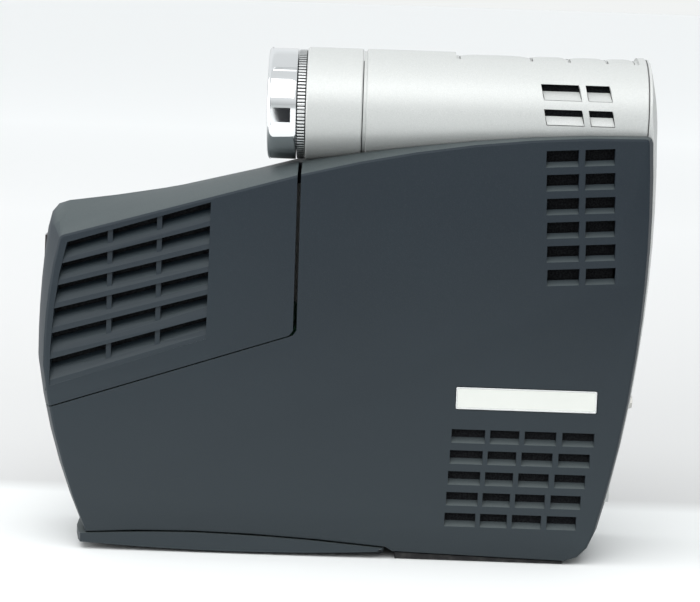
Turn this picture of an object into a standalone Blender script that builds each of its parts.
"""Slim upright portable projector: two moulded case halves, a silver lens tube, a louvred lamp door."""
import math

import bmesh
import bpy
from mathutils import Matrix, Vector

MM = 0.001

# Driving sizes of the case. X runs from the lens end to the connector end, Z is up.
CASE_LENGTH = 240.0 * MM
CASE_HEIGHT = 168.0 * MM
CASE_THICKNESS = 52.0 * MM
CASE_WALL = 2.4 * MM
EDGE_ROUND = 1.2 * MM
GAP = 0.3 * MM
SEAM = 0.5 * MM
OVERRUN = 6.0 * MM

# Driving sizes of the lens tube that lies along the top.
TUBE_RADIUS = 22.2 * MM
TUBE_LIFT = 6.0 * MM
TUBE_WALL = 2.4 * MM
SPINE_DEPTH = 6.9 * MM
NECK_LENGTH = 1.1 * MM
NECK_DEPTH = 0.9 * MM
COLLAR_REAR_share = 0.0367
COLLAR_LENGTH = 21.5 * MM
KNURL_WIDTH = 3.0 * MM
RING_LENGTH = 11.2 * MM
TROUGH_CLEARANCE = 0.7 * MM
TROUGH_STEPS = 48

# How finely round pieces are faceted.
THREAD_STEPS = 14
COARSE_STEPS = 16
MEDIUM_STEPS = 24
FINE_STEPS = 32

HALF_LENGTH = CASE_LENGTH / 2
HALF_THICKNESS = CASE_THICKNESS / 2
AXIS_Z = CASE_HEIGHT + TUBE_LIFT
INNER_Y = HALF_THICKNESS - CASE_WALL
TUBE_BORE = TUBE_RADIUS - TUBE_WALL
TUBE_REAR_X = HALF_LENGTH - SPINE_DEPTH
COLLAR_REAR_X = COLLAR_REAR_share * HALF_LENGTH
COLLAR_FRONT_X = COLLAR_REAR_X - COLLAR_LENGTH
RING_FRONT_X = COLLAR_FRONT_X - KNURL_WIDTH - 2 * GAP - RING_LENGTH
NEAR = -1
FAR = 1

# The case outline, clockwise from the top front corner as seen from the near side. Each row is
# (steps, side control, side end, middle control, middle end, crest share, crown power). Points are
# shares of half the length and of the height; the side outline lies in the flat side face and the
# middle outline in the plane where the two halves meet.
CASE_START_shares = ((-0.897, 0.733), (-0.9075, 0.7946), 0.0, 1.0)
CASE_CURVE_shares = (
    (5, (-0.520, 0.812), (-0.146, 0.889), (-0.517, 0.831), (-0.146, 0.910), 0.50, 1.0),
    (6, (0.398, 0.993), (0.9315, 0.993), (0.398, 1.002), (0.962, 1.002), 0.50, 1.0),
    (3, (0.947, 0.993), (0.948, 0.9818), (0.990, 1.002), (0.993, 0.981), 0.0, 2.0),
    (6, (0.975, 0.744), (0.938, 0.488), (1.010, 0.744), (0.968, 0.488), 0.0, 2.0),
    (4, (0.908, 0.276), (0.8325, 0.0744), (0.938, 0.276), (0.860, 0.0744), 0.0, 2.0),
    (3, (0.810, 0.0155), (0.743, 0.0083), (0.837, 0.0155), (0.7625, 0.0083), 0.0, 2.0),
    (1, (0.460, 0.0131), (0.182, 0.0179), (0.460, 0.0131), (0.182, 0.0179), 0.0, 2.0),
    (1, (0.170, 0.0226), (0.159, 0.0274), (0.170, 0.0226), (0.159, 0.0274), 0.0, 2.0),
    (5, (-0.417, 0.0649), (-0.813, 0.0405), (-0.417, 0.0649), (-0.842, 0.0405), 0.0, 2.0),
    (5, (-0.929, 0.238), (-0.960, 0.4286), (-0.961, 0.226), (-0.998, 0.4405), 0.0, 2.0),
    (5, (-0.962, 0.577), (-0.916, 0.719), (-0.999, 0.595), (-0.972, 0.738), 0.0, 2.0),
    (3, (-0.912, 0.730), (-0.897, 0.733), (-0.968, 0.789), (-0.9075, 0.7946), 0.0, 1.0),
)
CORNER_ROWS = (2, 11)
REAR_ROWS = (3, 4)
FRONT_ROWS = (9, 10)
SHOULDER_ROW = 0
FLOOR_ROW = 6
ARCH_ROW = 8
SIDE_RINGS = 3
EDGE_STEPS = 2
MITRE_LIMIT_share = 0.3

# The lamp door: its lower seam climbs to the rear, its rear seam stands upright under the lens ring.
DOOR_FRONT_share = (-0.939, 0.332)
DOOR_CORNER_share = (-0.155, 0.519)
DOOR_ROUND = 1.5 * MM
DOOR_REAR_SEAM = 1.4 * MM


def clear_scene():
    for obj in list(bpy.data.objects):
        bpy.data.objects.remove(obj, do_unlink=True)


def finish_material(name, colour, roughness, metallic=0.0, alpha=1.0):
    """A Principled finish, made once for each name."""
    found = bpy.data.materials.get(name)
    if found:
        return found
    made = bpy.data.materials.new(name)
    made.use_nodes = True
    shader = made.node_tree.nodes["Principled BSDF"]
    shader.inputs["Base Color"].default_value = (*colour, 1.0)
    shader.inputs["Roughness"].default_value = roughness
    shader.inputs["Metallic"].default_value = metallic
    shader.inputs["Alpha"].default_value = alpha
    made.diffuse_color = (*colour, alpha)
    return made


def slate():
    return finish_material("slate_plastic", (0.045, 0.062, 0.075), 0.55)


def silver():
    return finish_material("silver_paint", (0.62, 0.63, 0.62), 0.38, 0.6)


def chrome():
    return finish_material("chrome_plate", (0.80, 0.81, 0.82), 0.06, 1.0)


def black():
    return finish_material("black_plastic", (0.015, 0.016, 0.018), 0.45)


def rubber():
    return finish_material("soft_rubber", (0.02, 0.02, 0.022), 0.85)


def glass():
    return finish_material("coated_glass", (0.55, 0.62, 0.75), 0.03, 0.0, 0.35)


def mirror():
    return finish_material("mirror_glass", (0.85, 0.87, 0.90), 0.03, 1.0)


def board():
    return finish_material("board_laminate", (0.02, 0.16, 0.07), 0.5)


def alloy():
    return finish_material("cast_alloy", (0.50, 0.51, 0.53), 0.45, 1.0)


def badge_finish():
    return finish_material("badge_enamel", (0.80, 0.80, 0.76), 0.35)


def place(name, mesh, finish, origin=(0.0, 0.0, 0.0)):
    """Link a mesh as one named object whose origin stands at the given point."""
    mesh.name = name
    mesh.transform(Matrix.Translation(-Vector(origin)))
    mesh.materials.append(finish)
    mesh.shade_smooth()
    mesh.set_sharp_from_angle(angle=math.radians(32))
    obj = bpy.data.objects.new(name, mesh)
    obj.location = origin
    bpy.context.collection.objects.link(obj)
    return obj


def mesh_of(points, faces):
    """A mesh from points and faces, with every face turned outwards."""
    mesh = bpy.data.meshes.new("form")
    mesh.from_pydata([tuple(point) for point in points], [], faces)
    work = bmesh.new()
    work.from_mesh(mesh)
    bmesh.ops.recalc_face_normals(work, faces=work.faces)
    work.to_mesh(mesh)
    work.free()
    return mesh


def guide(name, mesh):
    """A cutter or a part to be joined: drawn as wire, never rendered."""
    obj = bpy.data.objects.new(name, mesh)
    obj.display_type = "WIRE"
    obj.hide_render = True
    bpy.context.collection.objects.link(obj)
    return obj


def boolean(obj, mesh, operation, name):
    """Cut, keep or join one mesh, which is given in world coordinates."""
    mesh.materials.append(obj.data.materials[0])
    other = guide(obj.name + "_" + name, mesh)
    step = obj.modifiers.new(name, "BOOLEAN")
    step.operation = operation
    step.solver = "EXACT"
    step.object = other


def cut(obj, mesh, name):
    boolean(obj, mesh, "DIFFERENCE", name)


def keep(obj, mesh, name):
    boolean(obj, mesh, "INTERSECT", name)


def join(obj, mesh, name):
    boolean(obj, mesh, "UNION", name)


def loft(rings, closed=False):
    """Skin a list of equal rings; a closed loft joins its last ring to its first."""
    count = len(rings[0])
    points = [point for ring in rings for point in ring]
    faces = []
    last = len(rings) if closed else len(rings) - 1
    for level in range(last):
        upper = ((level + 1) % len(rings)) * count
        lower = level * count
        for step in range(count):
            after = (step + 1) % count
            faces.append((lower + step, lower + after, upper + after, upper + step))
    if not closed:
        faces.append(tuple(range(count)))
        faces.append(tuple(range(len(points) - count, len(points))))
    return mesh_of(points, faces)


def block(low, high):
    """A rectangular block between two corners."""
    ring_low = [(low[0], low[1], low[2]), (high[0], low[1], low[2]),
                (high[0], high[1], low[2]), (low[0], high[1], low[2])]
    ring_high = [(x, y, high[2]) for x, y, z in ring_low]
    return loft([ring_low, ring_high])


def extrude_y(outline, low, high):
    """Extrude an outline of (x, z) points from one y to another."""
    return loft([[(x, low, z) for x, z in outline], [(x, high, z) for x, z in outline]])


def extrude_x(outline, low, high):
    """Extrude an outline of (y, z) points from one x to another."""
    return loft([[(low, y, z) for y, z in outline], [(high, y, z) for y, z in outline]])


def turn_x(profile, centre, steps):
    """Turn a closed profile of (x, radius) points about a line along X."""
    rings = []
    for step in range(steps):
        angle = math.tau * step / steps
        rings.append([(x, centre[0] + radius * math.sin(angle), centre[1] + radius * math.cos(angle))
                      for x, radius in profile])
    return loft(rings, closed=True)


def rod_along(axis, centre, radius, low, high, steps):
    """A plain round bar along X, Y or Z; centre gives its other two coordinates."""
    rings = []
    for along in (low, high):
        ring = []
        for step in range(steps):
            angle = math.tau * step / steps
            first = centre[0] + radius * math.cos(angle)
            second = centre[1] + radius * math.sin(angle)
            point = {"X": (along, first, second), "Y": (first, along, second), "Z": (first, second, along)}
            ring.append(point[axis])
        rings.append(ring)
    return loft(rings)


def several(meshes):
    """Put separate closed meshes into one mesh, for a cutter with many teeth."""
    work = bmesh.new()
    for mesh in meshes:
        work.from_mesh(mesh)
    joined = bpy.data.meshes.new("group")
    work.to_mesh(joined)
    work.free()
    return joined


def bezier(start, control, end, share):
    """A point on a curve with one control point."""
    rest = 1 - share
    return tuple(rest * rest * a + 2 * rest * share * b + share * share * c
                 for a, b, c in zip(start, control, end))


def rounded(outline, radius, steps):
    """Round every corner of a closed outline of (x, z) points."""
    result = []
    for place_in, corner in enumerate(outline):
        here = Vector(corner)
        before = (Vector(outline[place_in - 1]) - here)
        after = (Vector(outline[(place_in + 1) % len(outline)]) - here)
        start = here + before.normalized() * min(radius, before.length / 2)
        end = here + after.normalized() * min(radius, after.length / 2)
        for step in range(steps + 1):
            result.append(bezier(start, here, end, step / steps))
    return result


def inset(outline, distance):
    """Move every side of a clockwise outline inwards by one distance."""
    moved = []
    count = len(outline)
    for place_in in range(count):
        here = Vector(outline[place_in])
        before = (here - Vector(outline[place_in - 1])).normalized()
        after = (Vector(outline[(place_in + 1) % count]) - here).normalized()
        inward_before = Vector((before.y, -before.x))
        inward_after = Vector((after.y, -after.x))
        middle = (inward_before + inward_after).normalized()
        moved.append(tuple(here + middle * (distance / max(middle.dot(inward_after), MITRE_LIMIT_share))))
    return moved


def case_point(share_pair):
    return (share_pair[0] * HALF_LENGTH, share_pair[1] * CASE_HEIGHT)


def case_stations(rows=None, plain_corners=False):
    """The stations round the outline: side point, middle point, crest and crown power."""
    stations = []
    side, middle, crest, power = CASE_START_shares
    for number, row in enumerate(CASE_CURVE_shares):
        steps, side_control, side_end, middle_control, middle_end, crest_end, power_end = row
        wanted = rows is None or number in rows
        if wanted and plain_corners and number in CORNER_ROWS:
            stations.append((case_point(side_control), case_point(middle_control), crest_end, power_end))
        elif wanted:
            skip_first = plain_corners and (number - 1) % len(CASE_CURVE_shares) in CORNER_ROWS
            for step in range(1 if skip_first else 0, steps):
                share = step / steps
                stations.append((case_point(bezier(side, side_control, side_end, share)),
                                 case_point(bezier(middle, middle_control, middle_end, share)),
                                 crest + (crest_end - crest) * share,
                                 power + (power_end - power) * share))
        side, middle, crest, power = side_end, middle_end, crest_end, power_end
    return stations


def between(station, share):
    """Where the outer skin of a station lies, from the side face (0) to the middle plane (1)."""
    side, middle, crest, power = station
    reach = 1 - crest
    across = 1.0 if share >= reach else 1 - (1 - share / reach) ** power
    return (side[0] + (middle[0] - side[0]) * across, side[1] + (middle[1] - side[1]) * across)


def case_half(side):
    """One hollow half of the case, open at the plane where the halves meet."""
    rim_y = GAP / 2
    rings = []
    stations = case_stations()
    edge = [station[0] for station in stations]
    for step in range(EDGE_STEPS + 1):
        angle = math.radians(90) * step / EDGE_STEPS
        outline = inset(edge, EDGE_ROUND * (1 - math.sin(angle)))
        depth = HALF_THICKNESS - EDGE_ROUND * (1 - math.cos(angle))
        rings.append([(x, side * depth, z) for x, z in outline])
    start_y = HALF_THICKNESS - EDGE_ROUND
    for ring in range(1, SIDE_RINGS + 1):
        share = ring / SIDE_RINGS
        depth = start_y + (rim_y - start_y) * share
        flat = [between(station, 1 - depth / HALF_THICKNESS) for station in stations]
        rings.append([(x, side * depth, z) for x, z in flat])
    outer = rings
    stations = case_stations(plain_corners=True)
    inner = []
    for ring in range(SIDE_RINGS, -1, -1):
        share = ring / SIDE_RINGS
        depth = INNER_Y + (rim_y - INNER_Y) * share
        flat = inset([between(station, 1 - depth / HALF_THICKNESS) for station in stations], CASE_WALL)
        inner.append([(x, side * depth, z) for x, z in flat])
    return shell_between(outer, inner)


def shell_between(outer, inner):
    """Skin an outer and an inner loft of unlike counts, and close the rim between them."""
    work = bmesh.new()
    loops = []
    for rings in (outer, inner):
        levels = [[work.verts.new(point) for point in ring] for ring in rings]
        for low, high in zip(levels, levels[1:]):
            for step in range(len(low)):
                after = (step + 1) % len(low)
                work.faces.new((low[step], low[after], high[after], high[step]))
        loops.append(levels)
    work.faces.new(loops[0][0])
    work.faces.new(loops[1][-1])
    rim = []
    for ring in (loops[0][-1], loops[1][0]):
        for step in range(len(ring)):
            rim.append(work.edges.get((ring[step], ring[(step + 1) % len(ring)])))
    bmesh.ops.triangle_fill(work, edges=rim, use_beauty=True)
    bmesh.ops.recalc_face_normals(work, faces=work.faces)
    mesh = bpy.data.meshes.new("shell")
    work.to_mesh(mesh)
    work.free()
    return mesh


def door_outline(direction):
    """The door's region in side view, well past the case in front and above: the door itself (-1) or its
    opening (1), which leave the seam between them."""
    margin = direction * SEAM / 2
    front_x, front_z = case_point(DOOR_FRONT_share)
    corner_x, corner_z = case_point(DOOR_CORNER_share)
    climb = (corner_z - front_z) / (corner_x - front_x)
    lower = margin * math.sqrt(1 + climb * climb)
    far_x = -HALF_LENGTH - OVERRUN
    top_z = CASE_HEIGHT + OVERRUN
    start_z = front_z + climb * (far_x - front_x) - lower
    rear_x = corner_x + direction * DOOR_REAR_SEAM / 2
    corner = (rear_x, corner_z + climb * (rear_x - corner_x) - lower)
    turn_in = (rear_x - DOOR_ROUND, corner[1] - climb * DOOR_ROUND)
    turn_out = (rear_x, corner[1] + DOOR_ROUND)
    return [(far_x, start_z), turn_in, turn_out, (rear_x, top_z), (far_x, top_z)]


def tube_cutter():
    """The cradle for the tube, and the wider trough that the lens ring turns in."""
    ring = TUBE_RADIUS + TROUGH_CLEARANCE
    tube = TUBE_RADIUS + GAP
    front = RING_FRONT_X - TROUGH_CLEARANCE
    step = COLLAR_FRONT_X
    rear = HALF_LENGTH + OVERRUN
    sections = ((front, ring), (step, ring), (step, tube), (rear, tube))
    rings = []
    for x, radius in sections:
        ring = []
        for turn in range(TROUGH_STEPS):
            angle = math.tau * turn / TROUGH_STEPS
            ring.append((x, radius * math.sin(angle), AXIS_Z + radius * math.cos(angle)))
        rings.append(ring)
    return loft(rings)


# Slotted grilles: place and size of each, as the openings show in the side face.
SILL_RISE = 2.4 * MM
UPPER_SLOT_HEIGHT = 5.8 * MM
UPPER_ROWS = 6
UPPER_PITCH = 9.05 * MM
UPPER_TOP_share = (0.622, 0.957)
UPPER_LEAN_share = 0.004
UPPER_CLIMB_share = 0.065
UPPER_SPAN_shares = ((0.000, 0.102), (0.122, 0.216))
LOWER_SLOT_HEIGHT = 4.9 * MM
LOWER_ROWS = 5
LOWER_PITCH = 8.28 * MM
LOWER_TOP_share = (0.359, 0.3125)
LOWER_LEAN_share = -0.003
LOWER_SPAN_shares = ((0.000, 0.108), (0.124, 0.218), (0.235, 0.337), (0.356, 0.459))
LOWER_NARROWING_share = 0.018
TUBE_SLOT_HEIGHT = 5.9 * MM
TUBE_SLOT_INNER_Y = 14.0 * MM
TUBE_SLOT_ROWS = 2
TUBE_SLOT_PITCH = 9.3 * MM
TUBE_SLOT_TOP = 11.6 * MM
TUBE_SLOT_FRONT_share = 0.599
TUBE_SLOT_LEAN_share = 0.011
TUBE_SLOT_SPAN_shares = ((0.000, 0.120), (0.141, 0.217))

# The louvres of the lamp door.
LOUVRE_ROWS = 6
LOUVRE_DEPTH = 5.2 * MM
LOUVRE_SKIN = 1.3 * MM
LOUVRE_GAP_share = 0.24
LOUVRE_BEND_share = 0.62
LOUVRE_BACK_shares = (0.8, 0.5)
LOUVRE_RIB_WIDTH = 1.9 * MM
LOUVRE_RIB_SET_BACK = 1.3 * MM
LOUVRE_WALL = 1.5 * MM
LOUVRE_LIP = 0.3 * MM
LOUVRE_LIP_SET_BACK = 0.15 * MM
LOUVRE_TOP_FRONT_share = (-0.886, 0.7137)
LOUVRE_TOP_REAR_share = (-0.432, 0.816)
LOUVRE_LOW_FRONT_share = (-0.937, 0.381)
LOUVRE_LOW_REAR_share = (-0.438, 0.5024)
LOUVRE_BULGE_share = (-0.938, 0.577)
LOUVRE_RIB_shares = (-0.750, -0.594)
LOUVRE_CURVE_STEPS = 4

# The blank name plate that lies flush in the near half.
BADGE_CENTRE_share = (0.5945, 0.3851)
BADGE_LENGTH = 54.2 * MM
BADGE_HEIGHT = 8.6 * MM
BADGE_THICKNESS = 0.8 * MM
BADGE_ROUND = 0.6 * MM

# The rear spine panel and its sockets.
PANEL_HALF_WIDTH = 20.0 * MM
PANEL_LOW_share = 0.145
PANEL_WALL = 1.8 * MM
PANEL_TOP_RISE = 21.6 * MM
PANEL_ROUND = 3.2 * MM
PANEL_EDGE_LIFT = 1.0 * MM
PANEL_COLUMNS = 7
PANEL_CAP_STEPS = 8
PANEL_TAPER_share = 0.333
SOCKET_DEPTH = 11.0 * MM
SOCKET_SUNK = 0.5 * MM
POWER_SIZE = (22.0 * MM, 16.0 * MM)
POWER_Z_share = 0.250
POWER_RIM = 2.2 * MM
SOCKET_MOUTH = 7.0 * MM
SOCKET_RIM = 2.0 * MM
VIDEO_SIZE = (31.0 * MM, 12.4 * MM)
VIDEO_Z_share = 0.375
VIDEO_SHELL = (16.4 * MM, 8.0 * MM)
VIDEO_SHELL_TAPER = 1.2 * MM
VIDEO_SHELL_STANDS = 2.6 * MM
VIDEO_NUT_RADIUS = 2.6 * MM
NUT_SIDES = 6
VIDEO_NUT_STANDS = 2.2 * MM
VIDEO_NUT_OFFSET = 12.3 * MM
DIGITAL_SIZE = (28.0 * MM, 10.0 * MM)
DIGITAL_Z_share = 0.492
USB_SIZE = (12.0 * MM, 10.8 * MM)
USB_Z_share = 0.600
AUDIO_RADIUS = 4.4 * MM
AUDIO_BORE = 1.8 * MM
SMALL_SOCKET_Y = 9.0 * MM

# The tilt foot under the front half, its pin and the rubber pads.
FOOT_NOSE_share = -0.858
FOOT_NOSE_CROWN = 3.4 * MM
FOOT_DEPTH_shares = (-1.0, -0.86, -0.5, 0.0, 0.5, 0.86, 1.0)
FOOT_STEPS = 8
FOOT_LOW_shares = ((-0.826, 0.0120), (-0.330, 0.0010), (0.155, 0.0119))
FOOT_LIFT = 0.9 * MM
FOOT_CLEARANCE = 0.45 * MM
FOOT_WALL = 2.0 * MM
FOOT_RIBS = 5
FOOT_POCKET_FLOOR = 2.6 * MM
FOOT_TILT_DEGREES = 12
PIN_RADIUS = 0.6 * MM
PIN_X_share = 0.143
PIN_HALF_LENGTH = 21.0 * MM
KNUCKLE_RADIUS = 1.5 * MM
LUG_NEAR = 8.0 * MM
LUG_WIDTH = 4.0 * MM
LUG_HALF_LENGTH = 2.3 * MM
LUG_CLEARANCE = 0.9 * MM
PIN_STEPS = 16
FOOT_PAD_shares = (-0.640, -0.300)
FOOT_PAD_HALF_WIDTH = 17.0 * MM
FOOT_PAD_SUNK = 0.8 * MM
PAD_STEPS = 4
REAR_PAD_shares = (0.190, 0.735)
REAR_PAD_HALF_WIDTH = 24.5 * MM

# Small pieces in the nose: the remote window and the door catch.
WINDOW_share = (0.667, 0.716)
WINDOW_HALF_WIDTH = 7.0 * MM
WINDOW_GROOVE = 0.7 * MM
WINDOW_THICKNESS = 1.2 * MM
WINDOW_SEAT = 1.8 * MM
CATCH_Z_share = 0.422
CATCH_HALF_WIDTH = 4.0 * MM
CATCH_HALF_HEIGHT = 1.15 * MM
CATCH_STANDS = 0.4 * MM
CATCH_LENGTH = 5.0 * MM
CATCH_TRAVEL = 0.8 * MM

# The keypad on top of the tube.
KEYPAD_SET_BACK = 4.7 * MM
KEYPAD_CLEARANCE = 7.5 * MM
KEY_LENGTH_shares = (0.4206, 0.2118, 0.2118, 0.1558)
KEY_GAP = 0.9 * MM
KEY_HALF_WIDTH = 8.4 * MM
KEY_SPLIT = 0.9 * MM
KEY_SUNK = 0.8 * MM
KEY_CROWN = 0.75 * MM
KEY_TRAVEL = 0.5 * MM
KEY_DEPTH = 4.2 * MM
KEY_RECESS = 1.3 * MM
KEY_RECESS_MARGIN = 1.6 * MM
KEY_CROWN_STEPS = 8
RECESS_STEPS = 8
CROWN_STEPS = 72
KEY_BOARD_THICKNESS = 0.8 * MM
KEY_BOARD_HALF_WIDTH = 8.8 * MM


def slot_prism(front, rear, top, climb, height, outer_y, inner_y, side, lean=0.0):
    """One grille slot: its lower wall climbs inwards as a sill, and its top edge may climb to the rear."""
    rings = []
    for depth in (outer_y, inner_y):
        rise = SILL_RISE if depth == inner_y else -SILL_RISE * (outer_y - HALF_THICKNESS) / CASE_WALL
        rings.append([(front, side * depth, top), (rear, side * depth, top + climb),
                      (rear + lean, side * depth, top + climb - height + rise),
                      (front + lean, side * depth, top - height + rise)])
    return loft(rings)


def case_slots(side):
    """Both grilles of one case half as one cutter."""
    outer_y = HALF_THICKNESS + CASE_WALL
    inner_y = INNER_Y - CASE_WALL / 2
    prisms = []
    for row in range(UPPER_ROWS):
        top = UPPER_TOP_share[1] * CASE_HEIGHT - row * UPPER_PITCH
        start = (UPPER_TOP_share[0] + UPPER_LEAN_share * row) * HALF_LENGTH
        for low, high in UPPER_SPAN_shares:
            front = start + low * HALF_LENGTH
            rear = start + high * HALF_LENGTH
            rise = (front - start) * UPPER_CLIMB_share
            climb = (rear - front) * UPPER_CLIMB_share
            prisms.append(slot_prism(front, rear, top + rise, climb, UPPER_SLOT_HEIGHT,
                                     outer_y, inner_y, side))
    for row in range(LOWER_ROWS):
        top = LOWER_TOP_share[1] * CASE_HEIGHT - row * LOWER_PITCH
        start = (LOWER_TOP_share[0] + LOWER_LEAN_share * row) * HALF_LENGTH
        narrowing = 1 - LOWER_NARROWING_share * row
        for low, high in LOWER_SPAN_shares:
            front = start + low * narrowing * HALF_LENGTH
            rear = start + high * narrowing * HALF_LENGTH
            prisms.append(slot_prism(front, rear, top, 0.0, LOWER_SLOT_HEIGHT, outer_y, inner_y, side))
    return several(prisms)


def louvre_frame():
    """The corners of the louvred window as (x, z): its front side bulges with the case's front edge."""
    top_front = case_point(LOUVRE_TOP_FRONT_share)
    low_front = case_point(LOUVRE_LOW_FRONT_share)
    bulge = case_point(LOUVRE_BULGE_share)
    front = [bezier(low_front, bulge, top_front, step / LOUVRE_CURVE_STEPS)
             for step in range(LOUVRE_CURVE_STEPS + 1)]
    return front + [case_point(LOUVRE_TOP_REAR_share), case_point(LOUVRE_LOW_REAR_share)]


def louvre_row(row):
    """Front and rear points of the line where one row of louvres starts."""
    share = row / LOUVRE_ROWS
    outline = louvre_frame()
    front = bezier(outline[LOUVRE_CURVE_STEPS], case_point(LOUVRE_BULGE_share), outline[0], share)
    top_rear = Vector(outline[-2])
    low_rear = Vector(outline[-1])
    return Vector(front), top_rear.lerp(low_rear, share)


def louvre_blade(row):
    """One blade: it starts flush at its lower lip and curves inwards and up behind the lip above."""
    top_front, top_rear = louvre_row(row)
    low_front, low_rear = louvre_row(row + 1)
    reach = (top_rear - top_front).normalized() * LOUVRE_WALL / 2
    rings = []
    for top, low, extra in ((top_front, low_front, -1), (top_rear, low_rear, 1)):
        drop = (top - low)
        start = low + reach * extra - drop.normalized() * LOUVRE_LIP
        face = Vector((start.x, LOUVRE_LIP_SET_BACK - HALF_THICKNESS, start.y))
        up = Vector((drop.x, 0, drop.y))
        inward = Vector((0, 1, 0))
        first = face
        bend = face + up * (1 - LOUVRE_GAP_share) * LOUVRE_BEND_share
        last = face + up * (1 - LOUVRE_GAP_share) + inward * LOUVRE_DEPTH
        outer = [Vector(bezier(first, bend, last, step / LOUVRE_CURVE_STEPS))
                 for step in range(LOUVRE_CURVE_STEPS + 1)]
        down = -up.normalized()
        behind = inward * LOUVRE_SKIN * LOUVRE_BACK_shares[0] + down * LOUVRE_SKIN * LOUVRE_BACK_shares[1]
        inner = [point + behind for point in reversed(outer)]
        inner[-1] = first + inward * LOUVRE_SKIN
        rings.append([tuple(point) for point in outer + inner])
    return loft(rings)


def height_between(share, front_share, rear_share):
    """The height, at one share of the length, of the line between two points of the side view."""
    part = (share - front_share[0]) / (rear_share[0] - front_share[0])
    return (front_share[1] + (rear_share[1] - front_share[1]) * part) * CASE_HEIGHT


def louvre_rib(share):
    """One upright rib behind the blades' lips, from the window's lower edge to its upper edge."""
    middle = share * HALF_LENGTH
    half = LOUVRE_RIB_WIDTH / 2
    low = height_between(share, LOUVRE_LOW_FRONT_share, LOUVRE_LOW_REAR_share) - LOUVRE_WALL / 2
    top = height_between(share, LOUVRE_TOP_FRONT_share, LOUVRE_TOP_REAR_share) + LOUVRE_WALL / 2
    return block((middle - half, LOUVRE_RIB_SET_BACK - HALF_THICKNESS, low),
                 (middle + half, LOUVRE_DEPTH - HALF_THICKNESS, top))


def lamp_door():
    obj = place("lamp_door", case_half(NEAR), slate())
    keep(obj, extrude_y(door_outline(-1), -HALF_THICKNESS - OVERRUN, OVERRUN), "region")
    outline = louvre_frame()
    outer = inset(outline, -LOUVRE_WALL)
    front_y = -HALF_THICKNESS + EDGE_ROUND
    join(obj, extrude_y(outer, front_y, -HALF_THICKNESS + LOUVRE_DEPTH), "frame")
    cut(obj, extrude_y(outline, -HALF_THICKNESS - OVERRUN, 0.0), "window")
    for number, share in enumerate(LOUVRE_RIB_shares):
        join(obj, louvre_rib(share), f"rib_{number}")
    for row in range(LOUVRE_ROWS):
        join(obj, louvre_blade(row), f"blade_{row}")
    cut(obj, tube_cutter(), "trough")
    nose_cuts(obj)
    return obj


def nose_surface(z, y):
    """The x of the case's front skin at one height and one distance from the middle plane."""
    stations = case_stations(FRONT_ROWS)
    share = 1 - abs(y) / HALF_THICKNESS
    points = [between(station, share) for station in stations]
    for low, high in zip(points, points[1:]):
        if low[1] <= z <= high[1]:
            part = (z - low[1]) / (high[1] - low[1])
            return low[0] + (high[0] - low[0]) * part
    return points[-1][0]


def rear_surface(z, y):
    """The x of the case's rear skin at one height and one distance from the middle plane."""
    stations = case_stations(REAR_ROWS)
    share = 1 - abs(y) / HALF_THICKNESS
    points = [between(station, share) for station in stations]
    for high, low in zip(points, points[1:]):
        if low[1] <= z <= high[1]:
            part = (z - low[1]) / (high[1] - low[1])
            return low[0] + (high[0] - low[0]) * part
    return points[-1][0] if z < points[-1][1] else points[0][0]


def window_block(margin, depth, outward):
    """A block in the nose that follows the crowned front skin."""
    low_z = WINDOW_share[0] * CASE_HEIGHT - margin
    high_z = WINDOW_share[1] * CASE_HEIGHT + margin
    width = WINDOW_HALF_WIDTH + margin
    rings = []
    for z in (low_z, high_z):
        front = [(nose_surface(z, y) - outward, y, z) for y in (-width, -width / 2, 0.0, width / 2, width)]
        back = [(x + outward + depth, y, z) for x, y, z in reversed(front)]
        rings.append(front + back)
    return loft(rings)


def catch_block(margin, outward):
    z = CATCH_Z_share * CASE_HEIGHT
    front = nose_surface(z, 0.0) - outward
    return block((front, -CATCH_HALF_WIDTH - margin, z - CATCH_HALF_HEIGHT - margin),
                 (nose_surface(z, 0.0) + CATCH_LENGTH + margin, CATCH_HALF_WIDTH + margin,
                  z + CATCH_HALF_HEIGHT + margin))


def nose_cuts(obj):
    cut(obj, window_block(WINDOW_GROOVE, WINDOW_SEAT, OVERRUN / 2), "window_seat")
    cut(obj, catch_block(GAP, OVERRUN / 2), "catch_hole")


def outline_height(x, row):
    """The height of one row of the side outline at one x, held at the row's ends beyond them."""
    points = [station[0] for station in case_stations((row,))] + [case_point(CASE_CURVE_shares[row][2])]
    points.sort()
    if x <= points[0][0]:
        return points[0][1]
    for low, high in zip(points, points[1:]):
        if low[0] <= x <= high[0]:
            part = (x - low[0]) / (high[0] - low[0])
            return low[1] + (high[1] - low[1]) * part
    return points[-1][1]


def case_underside(x):
    """The height of the arched underside over the foot, at one x."""
    return outline_height(x, ARCH_ROW)


def pin_place():
    """The foot's pin lies so that its knuckles just clear the case's underside."""
    pin_x = PIN_X_share * HALF_LENGTH
    return pin_x, case_underside(pin_x + KNUCKLE_RADIUS) - GAP - KNUCKLE_RADIUS


def pin_lug(side):
    """The lug that hangs from a case half and carries the foot's pin."""
    pin_x, pin_z = pin_place()
    near = side * LUG_NEAR
    far = side * (LUG_NEAR + LUG_WIDTH)
    return block((pin_x - LUG_HALF_LENGTH, min(near, far), pin_z - KNUCKLE_RADIUS),
                 (pin_x + LUG_HALF_LENGTH, max(near, far), pin_z + KNUCKLE_RADIUS + GAP + CASE_WALL))


def pin_hole(radius):
    return rod_along("Y", pin_place(), radius, -HALF_THICKNESS, HALF_THICKNESS, PIN_STEPS)


def panel_opening():
    low_z = PANEL_LOW_share * CASE_HEIGHT - GAP
    width = PANEL_HALF_WIDTH + GAP
    rear = HALF_LENGTH + OVERRUN
    return block((rear_surface(low_z, HALF_THICKNESS) - CASE_WALL - OVERRUN, -width, low_z),
                 (rear, width, AXIS_Z))


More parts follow.
